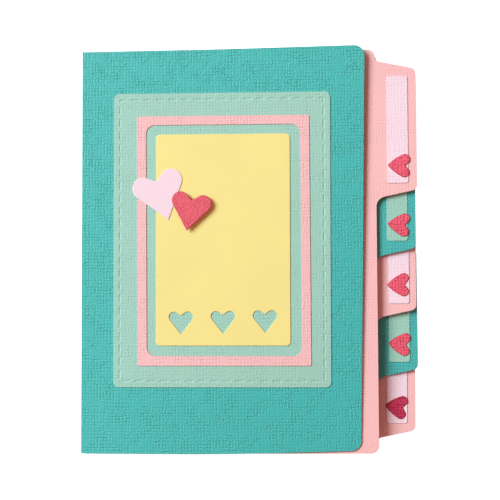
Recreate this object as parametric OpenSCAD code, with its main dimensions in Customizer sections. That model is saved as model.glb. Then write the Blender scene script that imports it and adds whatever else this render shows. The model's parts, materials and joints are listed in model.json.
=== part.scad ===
// Tabbed card album: a three-panel wrap cover, a pleated binding and five
// staggered tab leaves, with a layered mat-and-frame panel on the front.
// The album lies closed on its back cover. +Z is up out of the front cover,
// +X runs from the spine to the tabs and +Y to the head of the album.
// The origin is the centre of the back cover's underside.

/* [Cover] */
// Width of each cover panel, from the fold to the fore edge
cover_w = 124; // [104:1:150]
// Height of the cover, head to foot
cover_h = 177.8; // [165:0.2:230]
// Thickness of the cover card
cover_t = 0.5; // [0.4:0.05:1.2]
// Radius of the two fore-edge corners of each cover panel
cover_corner = 3.5; // [0:0.5:10]
// How much further the front cover springs open than the leaf stack, degrees
cover_rise = 0.9; // [0.2:0.1:3]
// How far the front cover's fore edge was cut towards the head
cover_skew = 1.6; // [-3:0.1:3]
// How much further than the top leaf the front cover's fore edge bends down at the head
cover_sag_head = 0.95; // [-0.5:0.05:1.5]
// How much further than the top leaf the front cover's fore edge bends down at the foot
cover_sag_foot = 2.85; // [0:0.05:2.95]

/* [Leaves] */
// Number of leaves
leaf_count = 5; // [3:1:6]
// How far the leaves reach past the fore edge of the covers, without their tabs
leaf_overhang = 6.8; // [0:0.1:12]
// How far the head and foot of the leaves stay inside the covers
leaf_inset = 0; // [0:0.1:2]
// Thickness of the leaf card
leaf_t = 0.35; // [0.2:0.05:0.8]
// Radius of the two fore-edge corners of a leaf
leaf_corner = 3.5; // [0.5:0.5:4]
// Air between one leaf and the pleat above it, at the binding
leaf_gap = 0.35; // [0.2:0.05:1.5]
// Angle that each leaf springs up from the one below it, degrees
leaf_fan = 0.4; // [0.1:0.1:1]
// How far each leaf was glued outwards (+) or inwards (-) of its place
leaf_dx = [-0.35, -0.9, -0.8, 0.1, -1]; // [-1.6:0.05:1.5]
// How far each leaf was glued towards the head (+) or foot (-)
leaf_dy = [-1, -0.85, -1, -0.5, -0.85]; // [-1.5:0.05:1.5]
// How far each leaf was glued askew, degrees anticlockwise
leaf_turn = [0.35, 0.35, 0.35, 0, 0]; // [-0.5:0.05:0.5]
// How far the fore edge of each leaf bends down at the head
leaf_bend_head = [-1.15, -0.6, 0.2, 0.8, 0.3]; // [-1.2:0.05:1]
// How far the fore edge of each leaf bends down at the foot
leaf_bend_foot = [2.75, 2.2, 1.3, 1.6, 1.4]; // [0:0.05:3.6]

/* [Tabs] */
// How far a tab stands out of its leaf
tab_out = 17.7; // [15:0.1:30]
// Height of a tab where it meets the leaf
tab_base_h = 60.6; // [50:0.2:80]
// Slope of the two shoulders, degrees away from square
tab_slope = 12; // [5:0.5:20]
// Radius of the two outer corners of a tab
tab_corner = 2; // [0.5:0.5:5]
// Radius of the hollow fillet where a shoulder runs into the leaf
tab_fillet = 4.4; // [0.5:0.1:6]
// Distance from the head of the leaf to the first tab
tab_margin = 5.3; // [4.5:0.1:8]
// Distance from the foot of the leaf to the last tab
tab_foot_margin = 6.6; // [4.5:0.1:8]
// Width of a label strip
label_w = 9.25; // [6:0.05:10]
// Distance from each end of the tab's outer edge to the label
label_end = 2.9; // [0.5:0.05:10]
// Radius of the label's corners
label_corner = 0.8; // [0.2:0.1:3]
// Distance from the tab's outer edge to the label
label_margin = 3.8; // [2:0.1:5]
// How far each label was glued outwards (+) or inwards (-) of its place
label_dx = [0.15, 0.3, 0.75, 0.25, 0.25]; // [-1:0.05:1]
// How far each label was glued above (+) or below (-) the middle of its tab
label_dy = [-0.1, 0.8, -0.3, 0.6, 0.15]; // [-1:0.05:1]
// Width across the lobes of a tab heart
tab_heart_w = 10.3; // [6:0.1:12]
// Height of the tab heart's middle above the foot of its label
tab_heart_rise = 7.6; // [5.5:0.1:30]
// Sideways place of each tab heart from the middle of its label
tab_heart_dx = [0.4, 0.5, -0.4, -0.1, -0.45]; // [-1:0.05:1]
// How far each tab heart sits above (+) or below (-) that height
tab_heart_dy = [0.15, -0.55, 0.7, 0.25, -0.25]; // [-1:0.05:1]
// Turn of each tab heart from tip-to-the-spine, degrees
tab_heart_turn = [-3, -5, 0, -5, -9]; // [-10:1:10]

/* [Binding] */
// How far the pleated strip stops short of the head and foot of the cover
strip_inset = 3.9; // [0:0.1:20]
// Thickness of the strip's paper
strip_t = 0.15; // [0.1:0.05:0.3]
// Depth of a pleat, from its root fold to its free edge
pleat_w = 10; // [6:0.5:20]
// Distance from a pleat's root fold to the glued edge of its leaf
leaf_setback = 2.9; // [1.8:0.1:5]

/* [Front panel] */
// Thickness of the thin card of the mat, frame, panel, labels and hearts
card_t = 0.3; // [0.15:0.05:0.5]
// Border of the stitched mat that shows outside the frame
mat_border = 9.8; // [4:0.05:12]
// Corner radius of the stitched mat
mat_corner = 2.4; // [0.5:0.1:6]
// Place of the mat's middle from the middle of the cover
mat_shift = [0.2, 4.85]; // [-6:0.05:12]
// Outer width of the window frame
frame_w = 76.2; // [70:0.2:90]
// Outer height of the window frame
frame_h = 110.2; // [104:0.2:120]
// Width of the frame's band
frame_band = 4.05; // [2:0.05:6]
// Radius of the frame's outer corners
frame_corner = 0.8; // [0.2:0.1:4]
// Radius of the window's corners
window_corner = 3.2; // [0.5:0.1:6]
// Place of the frame's centre from the mat's centre
frame_shift = [0.85, -0.4]; // [-2:0.05:2]
// Gap between the window and the centre panel at the sides
panel_gap_x = 4.5; // [2:0.1:8]
// Gap between the window and the centre panel at head and foot
panel_gap_y = 4.5; // [2:0.1:8]
// Place of the centre panel from the middle of the window
panel_shift = [-0.25, 0.35]; // [-1.5:0.05:1.5]
// Corner radius of the centre panel
panel_corner = 1.8; // [0.5:0.1:4]
// Number of hearts cut through the centre panel
cutout_count = 3; // [1:2:5]
// Width of a cut-out heart
cutout_w = 10.6; // [6:0.1:11]
// Distance between neighbouring cut-out hearts
cutout_pitch = 18.5; // [12:0.5:20]
// Height of the cut-out row above the foot of the centre panel
cutout_rise = 10.2; // [8:0.1:30]
// Turn of the cut-out row, degrees
cutout_turn = 0.9; // [-3:0.1:3]

/* [Hearts] */
// Width of the large flat heart
large_heart_w = 22.8; // [15:0.2:26]
// Centre of the large heart from the panel's upper corner at the spine side
large_heart_at = [2.25, -27.5]; // [-40:0.05:30]
// Turn of the large heart, degrees
large_heart_turn = 17.6; // [-45:0.2:45]
// Width of the raised heart
raised_heart_w = 17.7; // [12:0.1:20]
// Centre of the raised heart from the panel's upper corner at the spine side
raised_heart_at = [14.95, -34.45]; // [-40:0.05:40]
// Turn of the raised heart, degrees
raised_heart_turn = -10; // [-45:1:45]
// Side of the square foam pad under the raised heart
foam_w = 6; // [3:0.5:6.5]
// Thickness of the foam pad
foam_t = 1.8; // [0.6:0.1:2]
// Height of every heart as a share of its width
heart_aspect = 0.94; // [0.85:0.01:1.1]
// Lobe radius of every heart as a share of its width
heart_lobe = 0.214; // [0.2:0.002:0.225]
// Depth of every heart's notch as a share of its width
heart_notch = 0.165; // [0.12:0.005:0.22]

/* [Hidden] */
// Clearance at the folds, so that a panel turns without rubbing
fold_gap = 0.05;
// Clearance between the binding strip and the covers at each end
strip_end_gap = 0.2;
// Straight pieces in one rounded corner or lobe
arc_steps = 9;
lobe_steps = 22;
// A sprung card is bent by this power of its length, in this many flat strips
bend_power = 1.6;
bend_strips = 6;
// A card lies flat from its fold to this far past the end of a pleat
flat_past_pleat = 3;

pink = [0.975, 0.75, 0.75];
teal = [0.33, 0.70, 0.67];
mint = [0.65, 0.83, 0.76];
blush = [0.97, 0.86, 0.90];
yellow = [0.98, 0.91, 0.57];
red = [0.93, 0.39, 0.46];

// The fold that closes the spine lies at fold_x; every height starts at the table.
fold_x = -cover_w / 2;
pleat_t = 2 * strip_t;
leaf_pitch = pleat_t + leaf_t + leaf_gap;
spine_h = 2 * cover_t + (leaf_count + 1) * leaf_pitch;
cover_bend_head = of_leaf(leaf_bend_head, 1) + cover_sag_head;
cover_bend_foot = of_leaf(leaf_bend_foot, 1) + cover_sag_foot;
cover_angle = (leaf_count + 1) * leaf_fan + cover_rise;
hinge_x = fold_x + cover_t + strip_t + fold_gap + pleat_t / 2;
strip_h = cover_h - 2 * strip_inset;

leaf_h = cover_h - 2 * leaf_inset;
tab_pitch = (leaf_h - tab_margin - tab_foot_margin - tab_base_h) / (leaf_count - 1);
tab_outer_h = tab_base_h - 2 * tab_out * tan(tab_slope);
label_h = tab_outer_h - 2 * label_end;
// Length of edge that a rounded corner of radius 1 uses up at a shoulder's root
root_run = tan(45 - tab_slope / 2);
leaf_edge = fold_x + cover_w + leaf_overhang - hinge_x;
label_x = leaf_edge + tab_out - label_margin - label_w / 2;

mat_w = frame_w + 2 * mat_border;
mat_h = frame_h + 2 * mat_border;
mat_at = [cover_w / 2, 0] + mat_shift;
frame_at = mat_at + frame_shift;
window_w = frame_w - 2 * frame_band;
window_h = frame_h - 2 * frame_band;
panel_w = window_w - 2 * panel_gap_x;
panel_h = window_h - 2 * panel_gap_y;
panel_at = frame_at + panel_shift;
panel_top = panel_at + [-panel_w / 2, panel_h / 2];
card_1 = card_t;
card_2 = 2 * card_t;
bend_from = pleat_w + flat_past_pleat;

FRONT = ["front_cover", "stitched_mat", "window_frame", "centre_panel",
         "large_heart", "foam_square", "raised_heart"];
PER_LEAF = ["pleat_", "leaf_", "label_", "tab_heart_"];

// ---- outlines ----

function unit(v) = v / norm(v);
function short_turn(a) = a > 180 ? a - 360 : a < -180 ? a + 360 : a;
function arc(centre, r, from, turn, steps) =
    [for (i = [0:steps]) centre + r * [cos(from + turn * i / steps), sin(from + turn * i / steps)]];
// The entry of a hand-set list that belongs to leaf k, or 0 past its end
function of_leaf(list, k) = k <= len(list) ? list[k - 1] : 0;

// One corner b = [x, y, radius] of an outline, between its neighbours a and c
function corner(a, b, c) = let (
        at = [b.x, b.y],
        u = unit([a.x, a.y] - at),
        v = unit([c.x, c.y] - at),
        half = acos(u * v) / 2,
        centre = at + unit(u + v) * b[2] / sin(half),
        first = at + u * b[2] / tan(half) - centre,
        last = at + v * b[2] / tan(half) - centre,
        from = atan2(first.y, first.x),
        turn = short_turn(atan2(last.y, last.x) - from))
    b[2] == 0 ? [at] : arc(centre, b[2], from, turn, arc_steps);

// A closed outline of corners, each with its own radius
function rounded(points) = let (n = len(points))
    [for (i = [0:n - 1]) each corner(points[(i + n - 1) % n], points[i], points[(i + 1) % n])];

function rounded_box(w, h, r) =
    rounded([[-w / 2, -h / 2, r], [w / 2, -h / 2, r], [w / 2, h / 2, r], [-w / 2, h / 2, r]]);

// A heart with its tip towards -Y and its box centred on the origin. Each half
// is a round lobe with one straight run to the notch and one to the tip.
function heart(w) = let (
        r = heart_lobe * w,
        top = heart_aspect * w / 2,
        lobe = [w / 2 - r, top - r],
        notch = [0, top - heart_notch * w],
        tip = [0, -top],
        from_tip = lobe - tip,
        from_notch = lobe - notch,
        start = atan2(from_tip.y, from_tip.x) - asin(r / norm(from_tip)) - 90,
        end = atan2(from_notch.y, from_notch.x) + asin(r / norm(from_notch)) + 90,
        right = arc(lobe, r, start, end - start, lobe_steps))
    concat([tip], right, [notch], [for (i = [len(right) - 1:-1:0]) [-right[i].x, right[i].y]]);

// How far a sprung card is bent down at [u, v]: not at all up to bend_from, and
// at its reach by head and foot, in proportion between the two edges
function bent_down(u, v, reach, head, foot) = let (
        share = 0.5 + v / cover_h,
        run = max(0, u - bend_from) / (reach - bend_from))
    (head * share + foot * (1 - share)) * pow(run, bend_power);

// A layer over a sprung card, t thick, with its underside at bottom. It is a grid
// of flat strips, so that glued cards meet face to face.
module bent_layer(reach, head, foot, bottom, t) {
    end = reach + tab_out + 2;
    us = concat([-1], [for (i = [0:bend_strips]) bend_from + (end - bend_from) * i / bend_strips]);
    vs = [-cover_h / 2 - 2, 0, cover_h / 2 + 2];
    n = len(us);
    m = len(vs);
    points = [for (z = [bottom, bottom + t], v = vs, u = us)
              [u, v, z - bent_down(u, v, reach, head, foot)]];
    cells = [for (j = [0:m - 2], i = [0:n - 2]) j * n + i];
    top = n * m;
    faces = concat(
        [for (a = cells) let (b = a + top) each [[b, b + n, b + n + 1], [b, b + n + 1, b + 1]]],
        [for (a = cells) each [[a, a + n + 1, a + n], [a, a + 1, a + n + 1]]],
        [for (i = [0:n - 2]) [i, i + top, i + top + 1, i + 1]],
        [for (i = [top - n:top - 2]) [i + 1, i + top + 1, i + top, i]],
        [for (j = [0:m - 2]) let (a = j * n) [a + n, a + n + top, a + top, a]],
        [for (j = [0:m - 2]) let (a = j * n + n - 1) [a, a + top, a + n + top, a + n]]);
    polyhedron(points, faces);
}

// Cuts a sprung card to the outline given as its children
module sprung_card(reach, head, foot, bottom, t) {
    intersection() {
        translate([0, 0, -cover_h / 8])
        linear_extrude(cover_h / 4)
        children();
        bent_layer(reach, head, foot, bottom, t);
    }
}

// ---- places ----

// Height of the root fold of leaf k above the table; leaf 1 is the top one
function hinge_z(k) = cover_t + (leaf_count + 1 - k) * leaf_pitch;
// Middle of the tab of leaf k; the tabs step down from the head
function tab_y(k) = (leaf_h - tab_base_h) / 2 - tab_margin - (k - 1) * tab_pitch;

// Puts its children on the front cover: X from the fold, Z = 0 on the outer face.
// The cover turns about the middle of the fold, half the card's thickness in.
module on_front() {
    translate([fold_x + cover_t / 2, 0, spine_h - cover_t / 2])
    rotate([0, -cover_angle, 0])
    translate([-cover_t / 2, 0, cover_t / 2])
    children();
}

// A card on the sprung front cover, with its underside at bottom
module front_card(bottom) {
    on_front()
    sprung_card(cover_w, cover_bend_head, cover_bend_foot, bottom, card_t)
    children();
}

// Puts its children on the root fold of leaf k
module on_leaf(k) {
    translate([hinge_x, 0, hinge_z(k)])
    rotate([0, -leaf_fan * (leaf_count + 1 - k), 0])
    children();
}

// ---- wrap cover ----

// One strip of card that runs in X between two round folds, from fold centre to
// fold centre, or to a plain end. Z = 0 is its middle plane.
module folded_card(length, t, height, round_end) {
    translate([0, height / 2, 0])
    rotate([90, 0, 0])
    linear_extrude(height) {
        circle(d = t, $fn = 32);
        translate([0, -t / 2])
        square([length, t]);
        if (round_end)
            translate([length, 0])
            circle(d = t, $fn = 32);
    }
}

// Outline of a cover panel whose fore edge is shifted by skew towards the head
function cover_outline(skew) = let (y = cover_h / 2)
    rounded([[cover_t / 2, -y, 0], [cover_w, skew - y, cover_corner],
             [cover_w, skew + y, cover_corner], [cover_t / 2, y, 0]]);

// Finishes the fold edge of a cover panel, which has its outer face on Z = 0 and
// the fold's outer side on X = 0: the edge is hollowed round the fold, and the
// inner half stops at the spine.
module hollowed_fold() {
    inner = cover_t + fold_gap;
    long = 2 * cover_h;
    difference() {
        children();
        translate([cover_t / 2, long / 2, -cover_t / 2])
        rotate([90, 0, 0])
        cylinder(h = long, r = inner - cover_t / 2, $fn = 32);
        translate([0, -long / 2, -2 * cover_t])
        cube([inner, long, 1.5 * cover_t]);
    }
}

module back_cover() {
    color(teal)
    translate([fold_x, 0, 0])
    mirror([0, 0, 1])
    hollowed_fold()
    translate([0, 0, -cover_t])
    linear_extrude(cover_t)
    polygon(cover_outline(0));
}

module spine() {
    color(teal)
    translate([fold_x + cover_t / 2, 0, cover_t / 2])
    rotate([0, -90, 0])
    folded_card(spine_h - cover_t, cover_t, cover_h, true);
}

module front_cover() {
    color(teal)
    on_front()
    hollowed_fold()
    sprung_card(cover_w, cover_bend_head, cover_bend_foot, -cover_t, cover_t)
    polygon(cover_outline(cover_skew));
}

// ---- binding ----

// The flats of the pleated strip, glued inside the spine, with a slot at every
// pleat root where the paper turns outwards
module binding_strip() {
    bottom = cover_t + strip_end_gap;
    top = spine_h - cover_t - strip_end_gap;
    color(teal)
    translate([fold_x + cover_t, -strip_h / 2, 0])
    difference() {
        translate([0, 0, bottom])
        cube([strip_t, strip_h, top - bottom]);
        for (k = [1:leaf_count])
            translate([strip_t / 2, -strip_t, hinge_z(k) - strip_t / 2])
            cube([strip_t, strip_h + 2 * strip_t, strip_t]);
    }
}

// One pleat: two plies of the strip, folded back on themselves with a round root
module pleat(k) {
    color(teal)
    on_leaf(k)
    folded_card(pleat_w, pleat_t, strip_h, false);
}

// ---- tab leaves ----

// Fillet between a shoulder and the leaf's edge. The end tabs stand close to a
// rounded corner, so there the fillet keeps to the room that is left.
function root_fillet(room) =
    max(0, min(tab_fillet, (room - leaf_corner - fold_gap) / root_run));

function leaf_outline(k) = let (
        foot = -leaf_h / 2,
        head = leaf_h / 2,
        low = tab_y(k) - tab_base_h / 2,
        high = tab_y(k) + tab_base_h / 2,
        out = leaf_edge + tab_out)
    rounded([
        [leaf_setback, foot, 0],
        [leaf_edge, foot, leaf_corner],
        [leaf_edge, low, root_fillet(low - foot)],
        [out, tab_y(k) - tab_outer_h / 2, tab_corner],
        [out, tab_y(k) + tab_outer_h / 2, tab_corner],
        [leaf_edge, high, root_fillet(head - high)],
        [leaf_edge, head, leaf_corner],
        [leaf_setback, head, 0]]);

// A card of leaf k, where the leaf was glued on its pleat, with its underside at bottom
module leaf_card(k, bottom, t) {
    on_leaf(k)
    translate([of_leaf(leaf_dx, k), of_leaf(leaf_dy, k), pleat_t / 2])
    rotate(of_leaf(leaf_turn, k))
    sprung_card(leaf_edge, of_leaf(leaf_bend_head, k), of_leaf(leaf_bend_foot, k), bottom, t)
    children();
}

// Middle of the label on leaf k
function label_at(k) = [label_x + of_leaf(label_dx, k), tab_y(k) + of_leaf(label_dy, k)];

module leaf(k) {
    color(k % 2 == 1 ? pink : teal)
    leaf_card(k, 0, leaf_t)
    polygon(leaf_outline(k));
}

module label(k) {
    color(k % 2 == 1 ? blush : mint)
    leaf_card(k, leaf_t, card_t)
    translate(label_at(k))
    polygon(rounded_box(label_w, label_h, label_corner));
}

module tab_heart(k) {
    color(red)
    leaf_card(k, leaf_t + card_t, card_t)
    translate(label_at(k) + [of_leaf(tab_heart_dx, k),
                             of_leaf(tab_heart_dy, k) - label_h / 2 + tab_heart_rise])
    rotate(of_leaf(tab_heart_turn, k) - 90)
    polygon(heart(tab_heart_w));
}

// ---- front panel ----

module stitched_mat() {
    color(mint)
    front_card(0)
    translate(mat_at)
    polygon(rounded_box(mat_w, mat_h, mat_corner));
}

module window_frame() {
    color(pink)
    front_card(card_1)
    translate(frame_at)
    difference() {
        polygon(rounded_box(frame_w, frame_h, frame_corner));
        polygon(rounded_box(window_w, window_h, window_corner));
    }
}

module centre_panel() {
    color(yellow)
    front_card(card_1)
    translate(panel_at)
    difference() {
        polygon(rounded_box(panel_w, panel_h, panel_corner));
        translate([0, cutout_rise - panel_h / 2])
        rotate(cutout_turn)
        for (i = [0:cutout_count - 1])
            translate([(i - (cutout_count - 1) / 2) * cutout_pitch, 0])
            polygon(heart(cutout_w));
    }
}

module large_heart() {
    color(blush)
    front_card(card_2)
    translate(panel_top + large_heart_at)
    rotate(large_heart_turn)
    polygon(heart(large_heart_w));
}

module foam_square() {
    color("white")
    on_front()
    sprung_card(cover_w, cover_bend_head, cover_bend_foot, card_2, foam_t)
    translate(panel_top + raised_heart_at)
    rotate(raised_heart_turn)
    polygon(rounded_box(foam_w, foam_w, card_t));
}

module raised_heart() {
    color(red)
    front_card(card_2 + foam_t)
    translate(panel_top + raised_heart_at)
    rotate(raised_heart_turn)
    polygon(heart(raised_heart_w));
}

back_cover();
spine();
binding_strip();
front_cover();
stitched_mat();
window_frame();
centre_panel();
large_heart();
foam_square();
raised_heart();
for (k = [1:leaf_count]) {
    pleat(k);
    leaf(k);
    label(k);
    tab_heart(k);
}
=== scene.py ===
"""Dresses the tabbed card album: sprung card sheets with softened cut edges, pressed stitching and a linen emboss."""

import json
import math
import typing

import bpy
import numpy as np
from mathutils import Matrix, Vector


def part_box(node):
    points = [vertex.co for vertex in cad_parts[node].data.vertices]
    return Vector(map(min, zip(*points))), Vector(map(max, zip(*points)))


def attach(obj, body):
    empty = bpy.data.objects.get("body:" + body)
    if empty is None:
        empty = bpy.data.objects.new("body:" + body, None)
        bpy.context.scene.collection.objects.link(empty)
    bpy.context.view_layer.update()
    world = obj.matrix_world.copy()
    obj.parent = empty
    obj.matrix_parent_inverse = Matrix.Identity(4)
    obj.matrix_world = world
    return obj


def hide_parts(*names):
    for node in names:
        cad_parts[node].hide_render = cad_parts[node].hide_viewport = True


bl_info = {
    "name": "Tabbed card album",
    "version": (1, 0, 0),
    "blender": (4, 5, 0),
    "location": "3D View > Sidebar > Album",
    "description": "Builds the album's card sheets, hearts and finishes on the fixed frame",
    "category": "Object",
}

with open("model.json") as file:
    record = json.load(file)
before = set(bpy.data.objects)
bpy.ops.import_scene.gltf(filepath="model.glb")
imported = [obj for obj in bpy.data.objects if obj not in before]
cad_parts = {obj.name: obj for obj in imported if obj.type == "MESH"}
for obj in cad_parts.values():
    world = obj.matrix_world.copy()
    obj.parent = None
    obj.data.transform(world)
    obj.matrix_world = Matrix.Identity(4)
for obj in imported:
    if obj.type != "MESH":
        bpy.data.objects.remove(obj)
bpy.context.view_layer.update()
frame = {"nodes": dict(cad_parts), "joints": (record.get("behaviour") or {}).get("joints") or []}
MM = 0.001


def mm(value):
    """A length setting, in mm."""
    return value / MM


def node_size(node):
    """Width, depth and height of a frame node, in mm."""
    low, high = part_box(node)
    return tuple((b - a) / MM for a, b in zip(low, high))


def hinge_at(joint):
    """X and Z of a hinge's axis, in mm."""
    found = next(j for j in frame["joints"] if j["name"] == joint)
    return found["pos_m"][0] / MM, found["pos_m"][2] / MM


# Sizes of the frame's cards, in mm. FOLD_X is the outer face of the spine.
LEAVES = sum(name.startswith("leaf_") for name in frame["nodes"])
FOLD_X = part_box("spine")[0].x / MM
SPINE_H = node_size("spine")[2]
COVER_T = node_size("back_cover")[2]
COVER_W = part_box("back_cover")[1].x / MM - FOLD_X
COVER_H = node_size("back_cover")[1]

# How the sheets lie at rest, in mm and degrees.
PLEAT_T = 0.3
COVER_TURN = 3.3
LEAF_TURN = 0.4
BEND_FROM = 13.0
BEND_POWER = 1.6

# Forms that several pieces share, in mm, and the heart's as shares of its width.
CARD_T = 0.3
EDGE = 0.09
FLAT_RIM = 0.1
CRISP_CORNER = 0.3
HEART_H, HEART_LOBE, HEART_NOTCH = 0.94, 0.214, 0.165
ARC_STEPS, LOBE_STEPS, RUN_STEPS, CORNER_POINTS = 8, 26, 9, 9


# ---- outlines: closed loops of points, counter-clockwise, in mm ----


def arc(centre, radius, start, turn, steps):
    """centre + radius·(cos a, sin a), for angles a from start through turn."""
    a = start + turn * np.linspace(0, 1, steps + 1)
    return np.asarray(centre) + radius * np.stack([np.cos(a), np.sin(a)], 1)


def soft_outline(corners, step):
    """A polygon whose corners (x, y, radius) are rounded by tangent arcs, and its straight runs cut at every step."""
    at = np.array(corners, float)
    loops = []
    for before, here, after in zip(np.roll(at, 1, 0), at, np.roll(at, -1, 0)):
        if here[2] == 0:
            loops.append(here[None, :2])
            continue
        u, v = (way / np.hypot(*way) for way in (before[:2] - here[:2], after[:2] - here[:2]))
        half = math.acos(np.clip(u @ v, -1, 1)) / 2
        centre = here[:2] + (u + v) / np.hypot(*(u + v)) * here[2] / math.sin(half)
        first = here[:2] + u * here[2] / math.tan(half) - centre
        last = here[:2] + v * here[2] / math.tan(half) - centre
        start = math.atan2(first[1], first[0])
        turn = (math.atan2(last[1], last[0]) - start + math.pi) % math.tau - math.pi
        loops.append(arc(centre, here[2], start, turn, ARC_STEPS))
    runs = []
    for loop, following in zip(loops, loops[1:] + loops[:1]):
        gap = following[0] - loop[-1]
        cuts = max(1, int(np.hypot(*gap) / step))
        runs += [loop, loop[-1] + gap * np.linspace(0, 1, cuts + 1)[1:-1, None]]
    return np.concatenate(runs)


def heart(width, bulge=0.0):
    """Each half is a round lobe with one straight run to the notch and one to the tip, which points to -Y. The run
    to the tip may swell outwards by 4·bulge·t·(1 - t) of the width, for t from 0 to 1 along it."""
    radius, top = HEART_LOBE * width, HEART_H * width / 2
    lobe = np.array([width / 2 - radius, top - radius])
    notch, tip = np.array([0, top - HEART_NOTCH * width]), np.array([0, -top])
    spans = []
    for point, side in ((tip, -1), (notch, 1)):
        reach = lobe - point
        lean = math.asin(radius / np.hypot(*reach)) + math.pi / 2
        spans.append(math.atan2(reach[1], reach[0]) + side * lean)
    right = arc(lobe, radius, spans[0], spans[1] - spans[0], LOBE_STEPS)
    run = np.linspace(0, 1, RUN_STEPS + 1)[1:-1, None]
    side = right[0] - tip
    swell = np.array([side[1], -side[0]]) / np.hypot(*side) * width * bulge * 4 * run * (1 - run)
    half = np.concatenate([tip + side * run + swell, right, right[-1] + (notch - right[-1]) * run])
    return np.concatenate([tip[None], half, notch[None], half[::-1] * [-1, 1]])


def turned(points, angle, centre=(0, 0)):
    """points turned about the origin by angle, then carried to centre."""
    c, s = math.cos(angle), math.sin(angle)
    return points @ np.array([[c, s], [-s, c]]) + centre


def outward(loop):
    """For each point, the step that moves both of its edges outwards by 1 mm: (n1 + n2) / (1 + n1·n2)."""
    edge = np.roll(loop, -1, 0) - loop
    n2 = np.stack([edge[:, 1], -edge[:, 0]], 1) / np.hypot(edge[:, 0], edge[:, 1])[:, None]
    n1 = np.roll(n2, 1, 0)
    return (n1 + n2) / (1 + (n1 * n2).sum(1, keepdims=True))


# ---- shells: grids of rings by points, closed into solids ----


def edge_profile(thickness, width, drop):
    """Insets and levels of a softened cut edge, from the back face's rim to the front's: a quarter ellipse of
    width by drop at the front, a smaller one at the back, the plain cut between them, and a flat rim on each face."""
    a = np.linspace(0, math.pi / 2, 4)
    back_width, back_drop = width / 2, min(drop, thickness - drop) / 2
    rim = width + FLAT_RIM
    inset = [rim, *(back_width * (1 - np.sin(a))), *(width * (1 - np.cos(a))), rim]
    level = [0, *(back_drop * (1 - np.cos(a))), *(thickness - drop * (1 - np.sin(a))), thickness]
    return np.array(inset), np.array(level)


def band_faces(chain):
    """Quads between neighbouring loops of point numbers."""
    return np.concatenate([np.stack([a, np.roll(a, -1), np.roll(b, -1), b], 1) for a, b in zip(chain, chain[1:])])


def cap_faces(loop, hub):
    """Triangles from a loop of point numbers to its hub."""
    return np.stack([loop, np.roll(loop, -1), np.full(len(loop), hub)], 1)


def lifted(rings, level):
    """Points (u, v, w) for rings (m, n, 2) whose levels are (m, 1) or (m, n)."""
    level = np.broadcast_to(level, rings.shape[:2])
    return np.concatenate([rings, level[..., None]], 2).reshape(-1, 3)


def cut_share(level, thickness):
    """1 on the cut edge, and 0 on the two faces."""
    return ((level > 0) & (level < thickness)).astype(float)


NO_TRIS = np.zeros((0, 3), int)


class Shell:
    """A closed sheet of card in its own plane: points (u, v, w) in mm, faces, and how much of a point is cut edge."""

    def __init__(self, points, quads, tris, cut):
        self.points, self.quads, self.tris, self.cut = points, quads, tris, cut

    @classmethod
    def card(cls, loop, thickness, base, width=EDGE, drop=EDGE, centre=None, rings=12):
        """One card from its outline, with its back face at base: the edge profile round the outline, and inside it
        rings that shrink towards centre."""
        centre = loop.mean(0) if centre is None else np.asarray(centre, float)
        inset, level = edge_profile(thickness, width, drop)
        shrink = np.linspace(1, 0, rings + 1)[1:-1]
        scale = np.r_[shrink[::-1], np.ones(len(inset)), shrink]
        inset, level = (np.pad(part, rings - 1, "edge") for part in (inset, level))
        cut = cut_share(level, thickness)
        rim = loop - outward(loop) * inset[:, None, None]
        return cls.from_rings(centre + scale[:, None, None] * (rim - centre), level[:, None] + base, cut, centre)

    @classmethod
    def from_rings(cls, rings, level, cut, centre):
        """Rings (m, n, 2) from the back face's middle to the front's, closed by a hub point at each end."""
        m, n = rings.shape[:2]
        grid, numbers = lifted(rings, level), np.arange(m * n).reshape(m, n)
        hubs = [[*centre, grid[:n, 2].mean()], [*centre, grid[-n:, 2].mean()]]
        tris = np.concatenate([cap_faces(numbers[0], m * n)[:, [1, 0, 2]], cap_faces(numbers[-1], m * n + 1)])
        return cls(np.concatenate([grid, hubs]), band_faces(numbers), tris, np.r_[np.repeat(cut, n), 0, 0])

    @classmethod
    def band(cls, outer, inner, thickness, base):
        """A flat band between two outlines of equal count, with the edge profile round both."""
        inset, level = edge_profile(thickness, EDGE, EDGE)
        out, inn = (loop + outward(loop) * step * inset[:, None, None] for loop, step in ((outer, -1), (inner, 1)))
        mix = np.array([0.25, 0.5, 0.75])[:, None, None]
        top, bottom = out[-1] + (inn[-1] - out[-1]) * mix, inn[0] + (out[0] - inn[0]) * mix
        rings = np.concatenate([out, top, inn[::-1], bottom])
        level = np.r_[level, np.full(len(mix), thickness), level[::-1], np.zeros(len(mix))]
        cut = np.repeat(cut_share(level, thickness), rings.shape[1])
        numbers = np.arange(len(cut)).reshape(rings.shape[:2])
        return cls(lifted(rings, level[:, None] + base), band_faces([*numbers, numbers[0]]), NO_TRIS, cut)

    @classmethod
    def lattice(cls, flat, quads, loops, thickness, base):
        """A card from a flat lattice that ends one EDGE inside each outline, with the edge profile round every loop
        of point numbers. A loop has the card on its left."""
        inset, level = (part[2:-2] for part in edge_profile(thickness, EDGE, EDGE))
        count = len(flat)
        points = [np.c_[flat, np.full(count, thickness)], np.c_[flat, np.zeros(count)]]
        faces = [quads, quads[:, ::-1] + count]
        total = 2 * count
        for loop in loops:
            walls = lifted(flat[loop] + outward(flat[loop]) * (EDGE - inset)[:, None, None], level[:, None])
            points.append(walls)
            faces.append(band_faces([loop + count, *(total + np.arange(len(walls))).reshape(len(level), -1), loop]))
            total += len(walls)
        cut = np.r_[np.zeros(2 * count), np.ones(total - 2 * count)]
        return cls(np.concatenate(points) + [0, 0, base], np.concatenate(faces), NO_TRIS, cut)


# ---- sheets: how a card lies in space ----


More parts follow.
